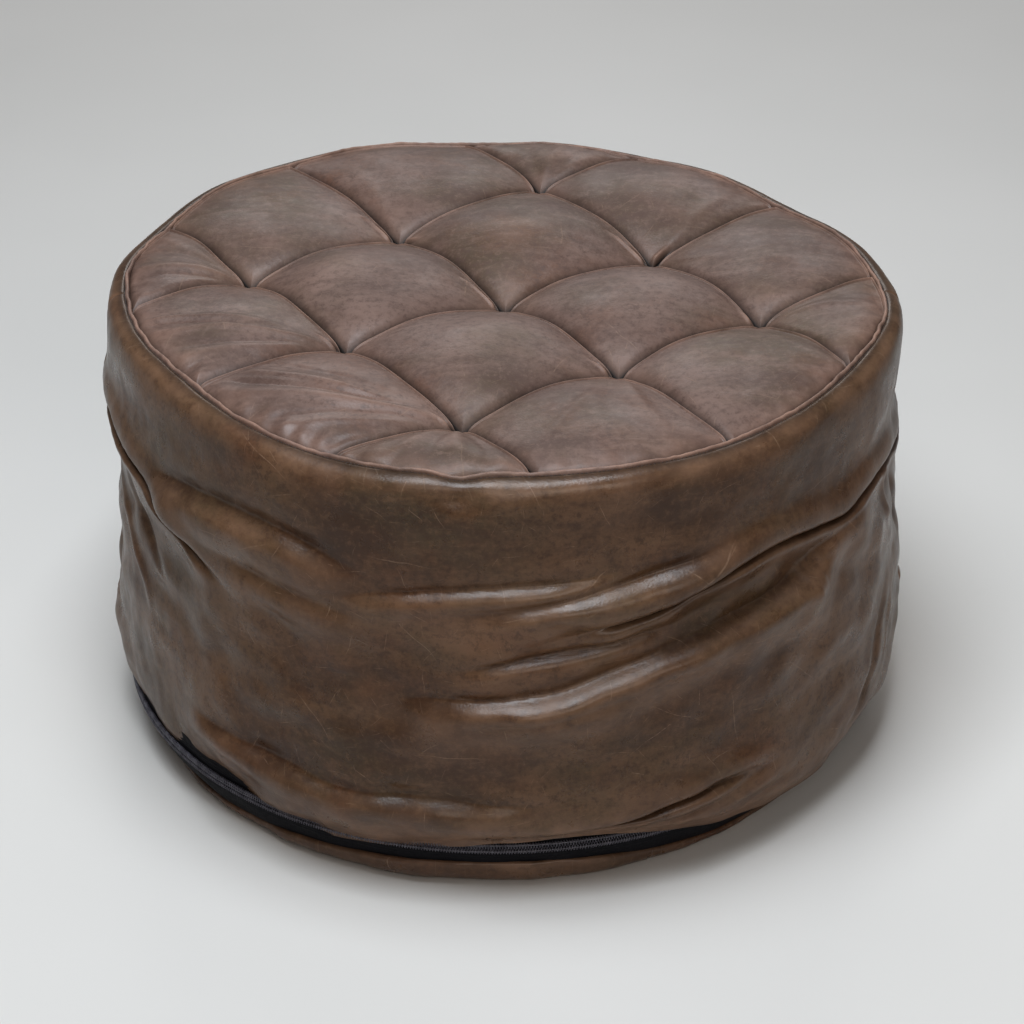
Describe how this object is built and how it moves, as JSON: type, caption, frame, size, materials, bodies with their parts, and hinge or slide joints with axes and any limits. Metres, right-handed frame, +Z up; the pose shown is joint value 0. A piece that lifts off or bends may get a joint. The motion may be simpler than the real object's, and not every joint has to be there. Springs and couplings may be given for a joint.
{
  "type": "round leather pouf",
  "caption": "Low round leather pouf with a tufted, seamed top, soft folded sides and a flat base that unzips around its edge to reach the stuffed insert.",
  "frame": {"origin": "middle of the flat base, on the floor", "axes": "+Z up along the pouf's axis; -Y is the front, seen first; +Y is the back, where the zip ends and the base hinges"},
  "size_m": [0.604, 0.604, 0.347],
  "materials": {
    "leather": "satin",
    "thread": "satin",
    "zip_tape": "matte",
    "zip_coil": "satin",
    "zip_metal": "satin",
    "batting": "matte",
    "foam": "matte",
    "lining": "matte",
    "washer": "matte",
    "twine": "satin"
  },
  "bodies": {
    "cover": {"top_panel_center_1": "leather", "top_panel_center_2": "leather", "top_panel_center_3": "leather", "top_panel_center_4": "leather", "top_panel_edge_1": "leather", "top_panel_edge_2": "leather", "top_panel_edge_3": "leather", "top_panel_edge_4": "leather", "top_panel_edge_5": "leather", "top_panel_edge_6": "leather", "top_panel_edge_7": "leather", "top_panel_edge_8": "leather", "top_panel_corner_1": "leather", "top_panel_corner_2": "leather", "top_panel_corner_3": "leather", "top_panel_corner_4": "leather", "rim_welt": "leather", "side_panel_front": "leather", "side_panel_back": "leather", "hinge_strip": "leather", "rim_stitching": "thread", "side_seam_stitching": "thread", "zip_tape_upper": "zip_tape", "zip_coil_upper": "zip_coil", "zip_stops_upper": "zip_metal", "top_batting": "batting", "top_foam_pad": "foam", "backing_cloth": "lining", "tuft_washers": "washer", "tuft_twines": "twine", "insert_top_cloth": "lining", "insert_side_cloth": "lining", "insert_base_cloth": "lining", "insert_fill": "batting"},
    "base_flap": {"base_panel": "leather", "zip_tape_lower": "zip_tape", "zip_coil_lower": "zip_coil", "zip_stops_lower": "zip_metal"},
    "slider": {"zip_slider": "zip_metal"},
    "pull": {"zip_pull": "zip_metal"}
  },
  "joints": [
    {"name": "zip_slide", "type": "hinge", "parent": "cover", "child": "slider", "pos_m": [0, 0, 0.038], "axis": [0, 0, 1], "range_deg": [0, 306]},
    {"name": "pull_swing", "type": "hinge", "parent": "slider", "child": "pull", "pos_m": [-0.11428, 0.26659, 0.038], "axis": [0, 0, 1], "range_deg": [0, 170]},
    {"name": "base_flap_open", "type": "hinge", "parent": "cover", "child": "base_flap", "pos_m": [0, 0.287, 0.038], "axis": [1, 0, 0], "range_deg": [0, 100]}
  ]
}
